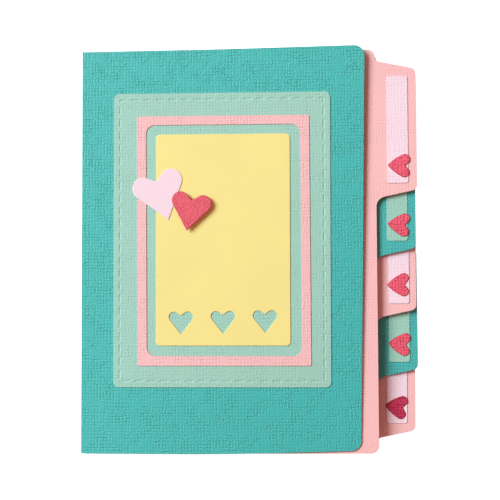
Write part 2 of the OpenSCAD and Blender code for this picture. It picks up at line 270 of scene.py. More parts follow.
class Lay:
    """How a hinged sheet lies. Past BEND_FROM it is bent by lift·((u - BEND_FROM) / (reach - BEND_FROM))^BEND_POWER,
    where lift blends from foot to head of the sheet. It is turned askew in its own plane, moved by shift and turned
    about its hinge."""

    def __init__(self, hinge, turn, shift, reach, head, foot, askew=0.0):
        self.hinge, self.shift, self.reach = hinge, shift, reach
        self.turn, self.askew = math.radians(turn), math.radians(askew)
        self.head, self.foot = head, foot

    def place(self, points):
        """World points in mm for sheet points (u, v, w), with w along the bent sheet's own normal."""
        u, v, w = points.T
        share = 0.5 + v / COVER_H
        lift = self.head * share + self.foot * (1 - share)
        run = self.reach - BEND_FROM
        t = np.maximum(u - BEND_FROM, 0) / run
        lean_u = -BEND_POWER * lift * t ** (BEND_POWER - 1) / run
        lean_v = -(self.head - self.foot) / COVER_H * t**BEND_POWER
        size = np.sqrt(1 + lean_u**2 + lean_v**2)
        flat_u, flat_v = u + w * lean_u / size, v + w * lean_v / size
        c, s = math.cos(self.askew), math.sin(self.askew)
        along = flat_u * c - flat_v * s + self.shift[0]
        y = flat_u * s + flat_v * c + self.shift[1]
        above = w / size + self.shift[2] + lift * t**BEND_POWER
        c, s = math.cos(self.turn), math.sin(self.turn)
        return np.stack([self.hinge[0] + along * c - above * s, y, self.hinge[1] + along * s + above * c], 1)


def cover_lay(sizes):
    """The front cover: the pivot lies half a card under the outer face."""
    half = COVER_T / 2
    head, foot = sizes.cover_bend
    return Lay((FOLD_X + half, SPINE_H - half), COVER_TURN, (-half, 0, half), COVER_W, -head, -foot)


def leaf_lay(sizes, k):
    """Leaf k, where it was glued on its pleat."""
    shift = (sizes.leaf_out[k - 1], sizes.leaf_up[k - 1], PLEAT_T / 2)
    return Lay(hinge_at(f"leaf_{k}_turn"), LEAF_TURN * (LEAVES + 1 - k), shift, mm(sizes.leaf_reach),
               -sizes.leaf_bend_head[k - 1], -sizes.leaf_bend_foot[k - 1], sizes.leaf_askew[k - 1])


# ---- pieces ----


def build(name, shell, place, material, body, node):
    """Makes the object from a shell, with each point's place on its own card for the finish, and rides it."""
    mesh = bpy.data.meshes.new(name)
    mesh.from_pydata(place(shell.points) * MM, [], [*shell.quads.tolist(), *shell.tris.tolist()])
    mesh.shade_smooth()
    own = mesh.attributes.new("card_mm", "FLOAT_VECTOR", "POINT")
    own.data.foreach_set("vector", shell.points.astype(np.float32).ravel())
    rim = mesh.attributes.new("cut_edge", "FLOAT", "POINT")
    rim.data.foreach_set("value", shell.cut.astype(np.float32))
    mesh.materials.append(material)
    piece = bpy.data.objects.new(name, mesh)
    bpy.context.scene.collection.objects.link(piece)
    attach(piece, body)
    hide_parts(node)


# ---- finishes ----


class Wire:
    """A shader socket that takes part in Python arithmetic: each operator adds one Math node."""

    def __init__(self, finish, socket):
        self.finish, self.socket = finish, socket

    def math(self, operation, *others):
        return self.finish.add("Math", dict(enumerate((self, *others))), operation=operation)

    def __add__(self, other):
        return self.math("ADD", other)

    def __sub__(self, other):
        return self.math("SUBTRACT", other)

    def __rsub__(self, other):
        return self.finish.add("Math", {0: other, 1: self}, operation="SUBTRACT")

    def __mul__(self, other):
        return self.math("MULTIPLY", other)

    def __truediv__(self, other):
        return self.math("DIVIDE", other)

    __radd__ = __add__
    __rmul__ = __mul__


class Finish:
    """A material in the making, with one method for every node that isn't plain arithmetic."""

    def __init__(self, name):
        self.material = bpy.data.materials.new(name)
        self.material.use_nodes = True
        self.tree = self.material.node_tree
        self.tree.nodes.clear()

    def add(self, kind, inputs=None, output=0, **settings):
        """Adds a shader node, applies its settings, fills or links its inputs, and returns one output as a Wire."""
        node = self.tree.nodes.new("ShaderNode" + kind)
        for key, value in settings.items():
            setattr(node, key, value)
        for key, value in (inputs or {}).items():
            if isinstance(value, Wire):
                self.tree.links.new(value.socket, node.inputs[key])
            else:
                node.inputs[key].default_value = value
        return Wire(self, node.outputs[output]) if node.outputs else node

    def object_at(self):
        """The object's own coordinates, in metres."""
        return self.add("TexCoord", output="Object")

    def noise(self, vector, scale, detail=2.0, roughness=0.5):
        return self.add("TexNoise", {"Vector": vector, "Scale": scale, "Detail": detail, "Roughness": roughness})

    def join(self, x, y, z=0.0):
        return self.add("CombineXYZ", {0: x, 1: y, 2: z})

    def spread(self, value, low, high, to_low=0.0, to_high=1.0):
        """value mapped from low..high to to_low..to_high, held at both ends."""
        return self.add("MapRange", {"Value": value, "From Min": low, "From Max": high, "To Min": to_low,
                                     "To Max": to_high})

    def blend(self, share, a, b, mode="MIX"):
        """Colour a to b by share. A colour mix has its colours at inputs 6 and 7 and its result at output 2."""
        return self.add("Mix", {"Factor": share, 6: a, 7: b}, 2, data_type="RGBA", blend_type=mode)

    def skin(self, inputs):
        """Ends the material in one Principled surface."""
        self.add("OutputMaterial", {"Surface": self.add("BsdfPrincipled", inputs)})


WHITE = (1.0, 1.0, 1.0, 1.0)


def shade(colour, factor):
    """A colour made lighter or darker, as four channels."""
    return (*(min(1.0, c * factor) for c in colour[:3]), 1.0)


class Linen(typing.NamedTuple):
    """How a linen card looks: the depth of its lines in mm, how much they darken and the threads lighten as painted
    shade and highlight, its specular level and roughness, the share of the depth that shallow patches keep, the
    brightness of its cut edge, which is darkened as painted shade, the turn of its threads in degrees and their pitch
    as a share of the album's."""

    relief: float
    contrast: float
    sheen: float
    rough: float
    even: float
    rim: float
    turn: float = 0.0
    fine: float = 1.0


# A linen takes the colour that its name starts with.
LINENS = {
    "teal_card": Linen(0.1, 0.09, 0.65, 0.5, 0.35, 0.75),
    "teal_tab_card": Linen(0.1, 0.08, 0.4, 0.55, 0.5, 0.75),
    "mint_card": Linen(0.06, 0.03, 0.5, 0.55, 0.35, 0.8),
    "mint_label_card": Linen(0.06, 0.02, 0.4, 0.6, 0.5, 0.6),
    "pink_card": Linen(0.08, 0.03, 0.4, 0.6, 0.35, 0.8),
    "pink_leaf_card": Linen(0.045, 0.012, 0.4, 0.6, 0.35, 0.8),
    "blush_card": Linen(0.012, 0.006, 0.35, 0.6, 0.5, 0.8),
    "blush_label_card": Linen(0.05, 0.02, 0.35, 0.6, 0.5, 0.6),
    "yellow_card": Linen(0.012, 0.005, 0.4, 0.55, 0.5, 0.8),
    "red_card": Linen(0.13, 0.1, 0.4, 0.55, 0.9, 0.5, turn=42, fine=0.66),
    "tab_red_card": Linen(0.17, 0.18, 0.4, 0.55, 0.9, 0.45),
    # Linen of the last tab's heart, whose darker red is painted shade from the leaves above it.
    "deep_red_card": Linen(0.17, 0.18, 0.4, 0.55, 0.9, 0.45),
    "teal_paper": Linen(0.01, 0.02, 0.4, 0.6, 0.5, 0.8),
}


def card_plane(finish, source, turn):
    """The two axes of a card's own plane in mm, as wires. A built sheet keeps its plane as card_mm. A fixed card
    lies flat or stands upright, and takes its plane from Object coordinates."""
    if source == "card":
        place = finish.add("Attribute", output="Vector", attribute_name="card_mm")
    else:
        place = finish.add("VectorMath", {0: finish.object_at(), "Scale": 1 / MM}, operation="SCALE")
    place = finish.add("VectorRotate", {"Vector": place, "Angle": -math.radians(turn)}, rotation_type="Z_AXIS")
    split = finish.add("SeparateXYZ", {0: place}).socket.node
    return [Wire(finish, split.outputs[axis]) for axis in ("ZY" if source == "upright" else "XY")]


# The emboss: how often and how far its lines wander, the start and depth of each set of lines, the spans of streaks,
# grain and patches as shares of the pitch, and how much pits and knots count.
SWAY_SCALE, SWAY = 0.12, 6.0
LINE_SETS = ((3.0, 0.85), (11.0, 1.15))
STREAK_ACROSS, STREAK_ALONG, GRAIN, PATCH = 0.8, 2.8, 0.45, 5.0
PITS, KNOTS = 0.6, 0.7


def emboss(finish, x, y, pitch, even):
    """Height of the linen emboss, from 0 in a line to 2 and more on a thread. Two sets of pressed lines cross at the
    weave's pitch. Each line wanders, and comes and goes along its length, small pits and knots break the threads, and
    some patches are pressed deeper than others."""
    plane = finish.join(x, y)
    sway = (finish.noise(plane, SWAY_SCALE, 1.0) - 0.5) * SWAY
    lines = []
    for across, along, (start, depth) in zip((x, y), (y, x), LINE_SETS):
        wave = (across * (math.tau / pitch) + sway + start).math("COSINE") * 0.5 + 0.5
        place = finish.join(across / (pitch * STREAK_ACROSS), along / (pitch * STREAK_ALONG), start)
        streak = finish.noise(place, 1.0, 1.0)
        lines.append(wave * wave * finish.spread(streak, 0.35, 0.58) * depth)
    grain = finish.noise(plane, 1 / (pitch * GRAIN), 1.0, 0.4)
    pits, knots = finish.spread(grain, 0.5, 0.66), finish.spread(grain, 0.46, 0.32)
    press = finish.spread(finish.noise(plane, 1 / (pitch * PATCH), 2.0), 0.36, 0.6, even, 1.0)
    return sum(depth for _, depth in LINE_SETS) - (sum(lines) + pits * PITS - knots * KNOTS) * press


# Fibres and clouds, by their scale per mm and their strength, how far the cut edge takes its darker colour, which is
# painted shade, and how far the roughness varies.
FIBRE_SCALE, FIBRE_HEIGHT = 5.0, 0.12
CLOUD_SCALE, CLOUD_SHADE = 0.035, 0.965
CUT_SHADE_SHARE, ROUGH_SPREAD = 0.5, 0.08


def card_finish(name, linen, colour, pitch, source):
    """Linen-embossed card, with fine fibres and faint clouds. Its lines are darkened and its threads lightened as
    painted shade and highlight, and its plain cut edge is darkened as painted shade.
    """
    finish = Finish(name)
    x, y = card_plane(finish, source, linen.turn)
    plane = finish.join(x, y)
    weave = emboss(finish, x, y, pitch, linen.even)
    fibre = finish.noise(plane, FIBRE_SCALE, 3.0, 0.65)
    cloud = finish.noise(plane, CLOUD_SCALE, 2.0)
    cut = finish.add("Attribute", output="Fac", attribute_name="cut_edge")
    height = weave * (1 - cut) + fibre * FIBRE_HEIGHT
    # Painted shade in the pressed lines and painted highlight on the threads.
    weave_shade_and_highlight = finish.spread(weave, 0.5, 2.4)
    base = finish.blend(weave_shade_and_highlight, shade(colour, 1 - linen.contrast), shade(colour, 1 + linen.contrast))
    base = finish.blend(finish.spread(cloud, 0.3, 0.7), base, shade(WHITE, CLOUD_SHADE), "MULTIPLY")
    # Painted shade on the cut edge: it takes a darker copy of the card's colour.
    base = finish.blend(cut * CUT_SHADE_SHARE, base, shade(colour, linen.rim))
    bump = finish.add("Bump", {"Strength": 1.0, "Distance": linen.relief * MM, "Height": height})
    rough = finish.spread(fibre, 0.3, 0.7, linen.rough - ROUGH_SPREAD, linen.rough + ROUGH_SPREAD)
    finish.skin({"Base Color": base, "Roughness": rough, "Normal": bump, "Specular IOR Level": linen.sheen})
    return finish.material


# Foam cells and floor grain, by their scale per metre.
FOAM_CELLS, FOAM_RELIEF = 4200.0, 0.08
FLOOR_GRAIN, FLOOR_GREYS, FLOOR_GLOW = 60.0, (0.6, 0.64), 0.9


def foam_finish(name, colour):
    """Closed-cell foam: small round cells dent the surface and are painted darker in their dents as shade."""
    finish = Finish(name)
    cells = finish.add("TexVoronoi", {"Vector": finish.object_at(), "Scale": FOAM_CELLS}, feature="SMOOTH_F1")
    # Painted shade: darker where the cells dent the surface.
    base = finish.blend(finish.spread(cells, 0.1, 0.6), shade(colour, 0.9), shade(colour, 1.0))
    bump = finish.add("Bump", {"Strength": 0.6, "Distance": FOAM_RELIEF * MM, "Height": cells})
    finish.skin({"Base Color": base, "Roughness": finish.spread(cells, 0.1, 0.6, 0.95, 0.8), "Normal": bump})
    return finish.material


def floor_finish():
    """A pale floor with a faint grain, which glows a little so that it stays white."""
    finish = Finish("pale_floor")
    grain = finish.noise(finish.object_at(), FLOOR_GRAIN)
    finish.skin({"Base Color": finish.blend(grain, *(shade(WHITE, grey) for grey in FLOOR_GREYS)), "Roughness": 0.9,
                 "Specular IOR Level": 0.0, "Emission Color": WHITE, "Emission Strength": FLOOR_GLOW})
    return finish.material


_made = {}


def finish_for(context, kind, source="card"):
    """The linen named kind in the colours of the album, made once."""
    key = f"{kind}_{source}"
    if key not in _made:
        linen = LINENS[kind]
        colour = tuple(getattr(context.scene.album_colours, kind.rsplit("_", 1)[0]))
        _made[key] = card_finish(key, linen, colour, mm(context.scene.album_sizes.weave_pitch) * linen.fine, source)
    return _made[key]


# ---- settings ----


def length(name, in_mm, text):
    """A length property from its value in mm."""
    return bpy.props.FloatProperty(name=name, default=in_mm * MM, min=0.0, subtype="DISTANCE", unit="LENGTH",
                                   precision=5, description=text)


def angle(name, degrees, text):
    """An angle property from its value in degrees."""
    return bpy.props.FloatProperty(name=name, default=math.radians(degrees), subtype="ANGLE", unit="ROTATION",
                                   description=text)


def row(name, values, text):
    """A property that holds several numbers, such as one for each leaf."""
    return bpy.props.FloatVectorProperty(name=name, default=values, size=len(values), precision=2, description=text)


def paint(name, r, g, b, text):
    """A colour property from its screen value in 0..255."""
    linear = [(v / 255 / 12.92) if v < 10.3 else ((v / 255 + 0.055) / 1.055) ** 2.4 for v in (r, g, b)]
    return bpy.props.FloatVectorProperty(name=name, default=linear, size=3, min=0.0, max=1.0, subtype="COLOR",
                                         description=text)


class AlbumSizes(bpy.types.PropertyGroup):
    """Sizes of the album's visible sheets."""

    cover_bend: row("Cover bend", (-0.2, 5.75), "Drop of the cover's fore edge at head and foot, in mm")
    cover_square: row("Cover corners", (-0.15, 0.17, 1.1, -0.2, -0.32, 1.1),
                      "How far it is off square, in mm: head at fold, middle and fore edge, then the same at foot")
    leaf_bend_head: row("Leaf bend, head", (-1.15, -0.6, 0.2, 0.8, 0.3), "Drop of each fore edge at the head, in mm")
    leaf_bend_foot: row("Leaf bend, foot", (2.75, 2.2, 1.3, 1.6, 1.4), "Drop of each fore edge at the foot, in mm")
    leaf_out: row("Leaf outwards", (-0.35, -0.9, -0.8, 0.1, -1), "Each leaf's shift outwards, in mm")
    leaf_up: row("Leaf upwards", (-1, -0.85, -1, -0.5, -0.85), "Each leaf's shift upwards, in mm")
    leaf_askew: row("Leaf askew", (0.35, 0.35, 0.35, 0, 0), "Turn of each leaf in its own plane, in degrees")
    cover_fore: row("Cover fore edge", (1.3, -0.9), "How far it passes the cover's width at head and foot, in mm")
    cover_swell: row("Cover swell", (3000, 1500), "Radius of its head and foot edges, in mm")
    cover_corner: length("Cover corner", 4.6, "Radius of the cover's fore corners")
    cover_fold: length("Cover fold", 0.27, "From the fold's outer face to the cover's edge")
    leaf_reach: length("Leaf reach", 129.95, "From a leaf's hinge to its fore edge")
    leaf_setback: length("Leaf setback", 2.9, "From a leaf's hinge to its glued edge")
    leaf_corner: length("Leaf corner", 3.5, "Radius of a leaf's fore corners")
    leaf_short: length("Leaf trim", 0.17, "How much shorter than the cover at each end")
    leaf_taper: length("Leaf taper", 0.5, "How much shorter still at its glued foot corner")
    leaf_t: length("Leaf thickness", 0.35, "Thickness of the leaf card")
    tab_out: length("Tab depth", 17.7, "How far a tab stands out")
    tab_base: length("Tab base", 60.6, "Height of a tab at the leaf's edge")
    tab_trim: row("Tab trim", (-0.1, 0.43, 0.0, 0.4, 0.0), "Cut away at each tab's lower shoulder, in mm")
    tab_lean: row("Tab lean", (0.0, 0.0, 0.0, 0.45, 0.0), "How far each tab's edge falls back at the head, in mm")
    tab_slope: angle("Tab slope", 12.0, "Slope of a tab's shoulders")
    tab_corner: length("Tab corner", 2.7, "Radius of a tab's outer corners")
    tab_fillet: length("Tab fillet", 4.4, "Radius of the hollow beside a tab")
    tab_margin: length("Tab margin, head", 5.3, "From the leaf's head to the first tab")
    tab_foot_margin: length("Tab margin, foot", 6.6, "From the leaf's foot to the last tab")
    label_w: length("Label width", 9.25, "Width of a label strip")
    label_end: length("Label end", 2.9, "From the end of a tab's edge to its label")
    label_margin: length("Label margin", 3.8, "From a tab's outer edge to its label")
    label_out: row("Label outwards", (0.15, 0.3, 0.75, 0.25, 0.25), "Each label's shift outwards, in mm")
    label_up: row("Label upwards", (-0.1, 0.8, -0.3, 0.6, 0.15), "Each label's shift upwards, in mm")
    label_corner: length("Label corner", 1.1, "Radius of a label's corners")
    tab_heart_w: length("Tab heart width", 10.3, "Width of a tab heart")
    tab_heart_bulge: bpy.props.FloatProperty(name="Tab heart bulge", default=0.042, precision=3,
                                             description="Swell of its sides, as a share of its width")
    tab_heart_rise: length("Tab heart rise", 7.6, "Height of a tab heart above its label's foot")
    tab_heart_out: row("Tab heart outwards", (0.4, 0.5, -0.4, -0.1, -0.45), "Each one's shift outwards, in mm")
    tab_heart_up: row("Tab heart upwards", (0.15, -0.4, 0.75, 0.35, -0.2), "Each one's shift upwards, in mm")
    tab_heart_turn: row("Tab heart turn", (-3, -5, 0, -5, -9), "Turn of each away from tip-to-the-spine, in degrees")
    mat_border: length("Mat border", 9.8, "Border of the mat outside the frame")
    mat_corner: length("Mat corner", 2.4, "Radius of the mat's corners")
    mat_shift: row("Mat shift", (0.2, 4.85), "Mat's middle from the cover's, in mm")
    frame_w: length("Frame width", 76.2, "Outer width of the window frame")
    frame_h: length("Frame height", 110.2, "Outer height of the window frame")
    frame_band: length("Frame band", 4.05, "Width of the frame's band")
    frame_foot: length("Frame foot", 0.3, "Extra width of the band at the foot")
    frame_corner: length("Frame corner", 0.8, "Radius of the frame's outer corners")
    frame_lean: angle("Frame lean", 0.3, "How far the frame is off square")
    frame_shift: row("Frame shift", (0.85, -0.4), "Frame's middle from the mat's, in mm")
    window_corner: length("Window corner", 3.9, "Radius of the window's corners")
    panel_gap: length("Panel gap", 4.5, "Gap between the window and the panel")
    panel_corner: length("Panel corner", 1.8, "Radius of the panel's corners")
    panel_shift: row("Panel shift", (-0.25, 0.35), "Panel's middle from the frame's, in mm")
    cutout_w: length("Cut-out width", 10.6, "Width of a cut-out heart")
    cutout_pitch: length("Cut-out pitch", 18.5, "Distance between cut-out hearts")
    cutout_rise: length("Cut-out rise", 10.2, "Height of the cut-outs above the panel's foot")
    cutout_turn: angle("Cut-out turn", 0.9, "Turn of the cut-out row")
    large_heart_w: length("Large heart", 22.8, "Width of the large flat heart")
    large_heart_at: row("Large heart place", (2.25, -27.5), "From the panel's upper left corner, in mm")
    large_heart_turn: angle("Large heart turn", 17.6, "Turn of the large heart")
    raised_heart_w: length("Raised heart", 17.7, "Width of the raised heart")
    raised_heart_at: row("Raised heart place", (15.2, -34.45), "From the panel's upper left corner, in mm")
    raised_heart_turn: angle("Raised heart turn", -10.0, "Turn of the raised heart and its foam pad")
    foam_w: length("Foam width", 6.0, "Side of the foam pad")
    foam_t: length("Foam thickness", 1.8, "Thickness of the foam pad")
    stitch_inset: length("Stitch inset", 2.85, "From the mat's edge to the stitch line")
    stitch_pitch: length("Stitch pitch", 5.55, "Length of a stitch and its gap")
    stitch_length: length("Stitch length", 3.7, "Length of one pressed stitch")
    stitch_width: length("Stitch width", 1.0, "Width of one pressed stitch")
    stitch_depth: length("Stitch depth", 0.2, "How deep a stitch is pressed")
    weave_pitch: length("Weave pitch", 1.38, "Distance between the linen's threads")


class AlbumColours(bpy.types.PropertyGroup):
    """Colours of the album's cards."""

    teal: paint("Teal", 55, 182, 175, "Cover card")
    teal_tab: paint("Teal tab", 70, 182, 177, "Card of the teal leaves")
    mint: paint("Mint", 157, 208, 191, "Mat card")
    mint_label: paint("Mint label", 156, 209, 190, "Labels on the teal tabs")
    pink: paint("Pink", 243, 192, 192, "Window frame")
    pink_leaf: paint("Pink leaf", 247, 194, 193, "Card of the pink leaves")
    blush: paint("Blush", 243, 220, 230, "Large flat heart")
    blush_label: paint("Blush label", 246, 222, 233, "Labels on the pink tabs")
    yellow: paint("Yellow", 244, 231, 144, "Centre panel")
    red: paint("Red", 239, 99, 116, "Raised heart")
    tab_red: paint("Tab red", 240, 92, 116, "Tab hearts")
    # A darker red for the last tab's heart: painted shade from the leaves above it.
    deep_red: paint("Deep red", 196, 44, 82, "Heart on the last tab")
    foam: paint("Foam", 240, 240, 236, "Foam pad")


# ---- operators ----


def on_cover(context, name, shell, kind, node):
    """Builds a card that belongs to the front cover."""
    build(name, shell, cover_lay(context.scene.album_sizes).place, finish_for(context, kind), "front", node)


def on_leaf(context, k, name, shell, kind, node):
    """Builds a card that belongs to leaf k. The name and the node take k at their end."""
    place = leaf_lay(context.scene.album_sizes, k).place
    build(f"{name}_{k}", shell, place, finish_for(context, kind), f"page_{k}", f"{node}_{k}")


class ALBUM_OT_fixed_cards(bpy.types.Operator):
    """Gives the linen finish to the frame's own cards: back cover, spine, binding strip and pleats"""

    bl_idname = "album.fixed_cards"
    bl_label = "Finish the fixed cards"

    def execute(self, context):
        kinds = {"back_cover": ("teal_card", "flat"), "spine": ("teal_card", "upright"),
                 "binding_strip": ("teal_paper", "upright")}
        kinds.update({f"pleat_{k}": ("teal_paper", "flat") for k in range(1, LEAVES + 1)})
        for node, (kind, source) in kinds.items():
            mesh = frame["nodes"][node].data
            mesh.materials.clear()
            mesh.materials.append(finish_for(context, kind, source))
        return {"FINISHED"}


# Air between the cover and the bead on its fold, and between it and the spine, in mm. The slope keeps the rings of
# points that meet at the fold apart.
FOLD_AIR, SPINE_AIR, FOLD_SLOPE = 0.01, 0.06, 0.2


class ALBUM_OT_front_cover(bpy.types.Operator):
    """Builds the sprung front cover with its hollowed fold edge"""

    bl_idname = "album.front_cover"
    bl_label = "Front cover"

    def execute(self, context):
        s = context.scene.album_sizes
        half, radius, fold = COVER_H / 2, mm(s.cover_corner), mm(s.cover_fold)
        head_fold, head_middle, head_fore, foot_fold, foot_middle, foot_fore = s.cover_square
        head_swell, foot_swell = s.cover_swell
        head_out, foot_out = s.cover_fore
        loop = soft_outline([
            (fold, -half + foot_fold, CRISP_CORNER), (COVER_W / 2, -half + foot_middle, foot_swell),
            (COVER_W + foot_out, -half + foot_fore, radius), (COVER_W + head_out, half + head_fore, radius),
            (COVER_W / 2, half + head_middle, head_swell), (fold, half + head_fold, CRISP_CORNER)], 2.0)
        shell = Shell.card(loop, COVER_T, -COVER_T, rings=14)
        u, w = shell.points[:, 0], shell.points[:, 2]
        inside = COVER_T / 2
        bead = inside + FOLD_AIR
        hollow = inside + np.sqrt(np.maximum(bead**2 - (w + inside) ** 2, 0))
        limit = np.where(w < -inside, COVER_T + SPINE_AIR, hollow)
        shell.points[:, 0] = np.maximum(u, limit + (u - fold) * FOLD_SLOPE)
        on_cover(context, "sprung_front_cover", shell, "teal_card", "front_cover")
        return {"FINISHED"}


def middles(s):
    """Middles of the mat, the window frame and the panel."""
    return np.cumsum([(COVER_W / 2, 0), s.mat_shift, s.frame_shift, s.panel_shift], 0)[1:]


def round_rectangle(width, height, radius, cuts):
    """Rounded rectangles as functions of the place along the outline, one for each entry of width, height and
    radius: every side has cuts points, spaced evenly, and every corner is a quarter circle."""
    width, height, radius = (np.asarray(a, float)[:, None] for a in (width, height, radius))
    loops = []
    for i, (sx, sy) in enumerate(((1, -1), (1, 1), (-1, 1), (-1, -1))):
        a = (i - 1) * math.pi / 2 + np.linspace(0, math.pi / 2, CORNER_POINTS)[None]
        cx, cy = sx * (width / 2 - radius), sy * (height / 2 - radius)
        loops.append(np.stack([cx + radius * np.cos(a), cy + radius * np.sin(a)], -1))
    runs = []
    for i, loop in enumerate(loops):
        after = loops[(i + 1) % 4][:, :1]
        share = np.linspace(0, 1, cuts[i % 2] + 2)[None, 1:-1, None]
        runs += [loop, loop[:, -1:] + (after - loop[:, -1:]) * share]
    return np.concatenate(runs, 1)


def stitch_dashes(loop, pitch, stitch):
    """For each point of a closed loop, how fully it lies in a stitch: 1 in a stitch, 0 between two, smooth at the
    ends as 3t² - 2t³. The pitch is fitted so that whole stitches close the loop."""
    steps = np.hypot(*(np.roll(loop, -1, 0) - loop).T)
    run = np.cumsum(steps) - steps
    phase = (run / steps.sum() * round(steps.sum() / pitch)) % 1
    t = np.clip((stitch / pitch / 2 - np.abs(phase - 0.5)) / STITCH_FADE, 0, 1)
    return t * t * (3 - 2 * t)


# The mat's rings of points: insets in mm on both faces, and places across the stitch line by half its width. The
# stitches are spaced along one of these. The cuts are the points along a long and a short side.
MAT_RINGS = np.array([6.0, 12.0, 20.0, 30.0, 38.0, 44.0])
MAT_CORE_CORNER = 1.2
GROOVE_RINGS = np.array([-1.3, -1, -0.7, -0.4, -0.15, 0.15, 0.4, 0.7, 1, 1.3])
SPACING_RING = 3
STITCH_FADE, GROOVE_POWER = 0.07, 0.9
MAT_CUTS, FRAME_CUTS, LABEL_CUTS = (400, 290), (46, 32), (20, 4)


class ALBUM_OT_stitched_mat(bpy.types.Operator):
    """Builds the mat with a line of stitches pressed into its front"""

    bl_idname = "album.stitched_mat"
    bl_label = "Stitched mat"

    def execute(self, context):
        s = context.scene.album_sizes
        width, height = mm(s.frame_w) + 2 * mm(s.mat_border), mm(s.frame_h) + 2 * mm(s.mat_border)
        line, half = mm(s.stitch_inset), mm(s.stitch_width) / 2
        inset, level = edge_profile(CARD_T, EDGE, EDGE)
        spacing_ring = len(MAT_RINGS) + len(inset) + SPACING_RING
        inset = np.r_[MAT_RINGS[::-1], inset, line + half * GROOVE_RINGS, MAT_RINGS]
        level = np.r_[np.zeros(len(MAT_RINGS)), level, np.full(len(GROOVE_RINGS) + len(MAT_RINGS), CARD_T)]
        radius = np.clip(mm(s.mat_corner) - inset, MAT_CORE_CORNER, None)
        rings = round_rectangle(width - 2 * inset, height - 2 * inset, radius, MAT_CUTS)
        groove = np.clip(1 - (np.abs(inset - line) / half) ** 2, 0, 1) ** GROOVE_POWER
        dashes = stitch_dashes(rings[spacing_ring], mm(s.stitch_pitch), mm(s.stitch_length))
        depth = mm(s.stitch_depth) * groove[:, None] * dashes
        centre = middles(s)[0]
        shell = Shell.from_rings(rings + centre, level[:, None] - depth, cut_share(level, CARD_T), centre)
        on_cover(context, "pressed_stitched_mat", shell, "mint_card", "stitched_mat")
        return {"FINISHED"}


class ALBUM_OT_window_frame(bpy.types.Operator):
    """Builds the window frame as one band with softened edges"""

    bl_idname = "album.window_frame"
    bl_label = "Window frame"

    def execute(self, context):
        s = context.scene.album_sizes
        width, height, band, foot = mm(s.frame_w), mm(s.frame_h), mm(s.frame_band), mm(s.frame_foot)
        outer, inner = round_rectangle([width, width - 2 * band], [height, height - 2 * band - foot],
                                       [mm(s.frame_corner), mm(s.window_corner)], FRAME_CUTS)
        lean = np.array([[1, 0], [-math.tan(s.frame_lean), 1]])
        outer, inner = (loop @ lean + middles(s)[1] for loop in (outer, inner + (0, foot / 2)))
        shell = Shell.band(outer, inner, CARD_T, CARD_T)
        on_cover(context, "pink_window_frame", shell, "pink_card", "window_frame")
        return {"FINISHED"}


def panel_size(s):
    """Width and height of the panel."""
    less = 2 * (mm(s.frame_band) + mm(s.panel_gap))
    return mm(s.frame_w) - less, mm(s.frame_h) - less


def round_corners(grid, core, radius):
    """Carries the corner squares of a lattice onto quarter discs: (a, b) goes to
    (a·sqrt(1 - b²/2), b·sqrt(1 - a²/2))."""
    share = np.clip((np.abs(grid) - core) / radius, 0, 1)
    disc = np.sign(grid) * (core + radius * share * np.sqrt(1 - share[..., ::-1] ** 2 / 2))
    return np.where((share > 0).all(-1, keepdims=True), disc, grid)


# The panel's lattice: each cut-out has a square block of CELLS by CELLS cells, and BLOCK_H is its height in mm.
CUTOUTS, CELLS, BLOCK_H = 3, 24, 13.4
CORNER_LINES, FOOT_LINES, HEAD_LINES, LINE_SLACK = 7, 3, 36, 0.01
HOLE_RINGS = np.array([0.25, 0.5, 0.75, 0.93, 1.0])


def panel_lattice(width, height, radius, pitch, middle):
    """A lattice over the panel, closer in its corners, which are carried onto quarter discs, and in the row of
    blocks at height middle. Returns its points, their numbers by row, and the first block's lowest row and column."""
    ramp = radius * np.linspace(0, 1, CORNER_LINES)
    side, end = width / 2 - radius, height / 2 - radius
    left, low, high = -CUTOUTS / 2 * pitch, middle - BLOCK_H / 2, middle + BLOCK_H / 2
    x = np.r_[-side - ramp, side + ramp, np.linspace(left, -left, CUTOUTS * CELLS + 1)]
    y = np.r_[-end - ramp, np.linspace(-end, low, FOOT_LINES), np.linspace(low, high, CELLS + 1),
              np.linspace(high, end, HEAD_LINES), end + ramp]
    x, y = np.unique(np.round(x, 3)), np.unique(y)
    grid = round_corners(np.stack(np.meshgrid(x, y), -1), (side, end), radius)
    first = np.searchsorted(y, low - LINE_SLACK), np.searchsorted(x, left - LINE_SLACK)
    return grid.reshape(-1, 2), np.arange(len(y) * len(x)).reshape(len(y), len(x)), first


def border(block):
    """The numbers round a block of lattice points, counter-clockwise."""
    return np.r_[block[0, :-1], block[:-1, -1], block[-1, :0:-1], block[:0:-1, 0]]


def hole_rings(edge, shape):
    """Rings that blend from a block's edge to a closed shape, both round the origin: each point keeps its direction
    and takes the shape's distance in that direction."""
    angles = np.unwrap(np.arctan2(shape[:, 1], shape[:, 0]))
    aim = np.mod(np.arctan2(edge[:, 1], edge[:, 0]) - angles[0], math.tau) + angles[0]
    far = np.interp(aim, np.r_[angles, angles[0] + math.tau], np.hypot(*np.r_[shape, shape[:1]].T))
    hole = np.stack([np.cos(aim), np.sin(aim)], 1) * far[:, None]
    return edge + (hole - edge) * HOLE_RINGS[:, None, None]


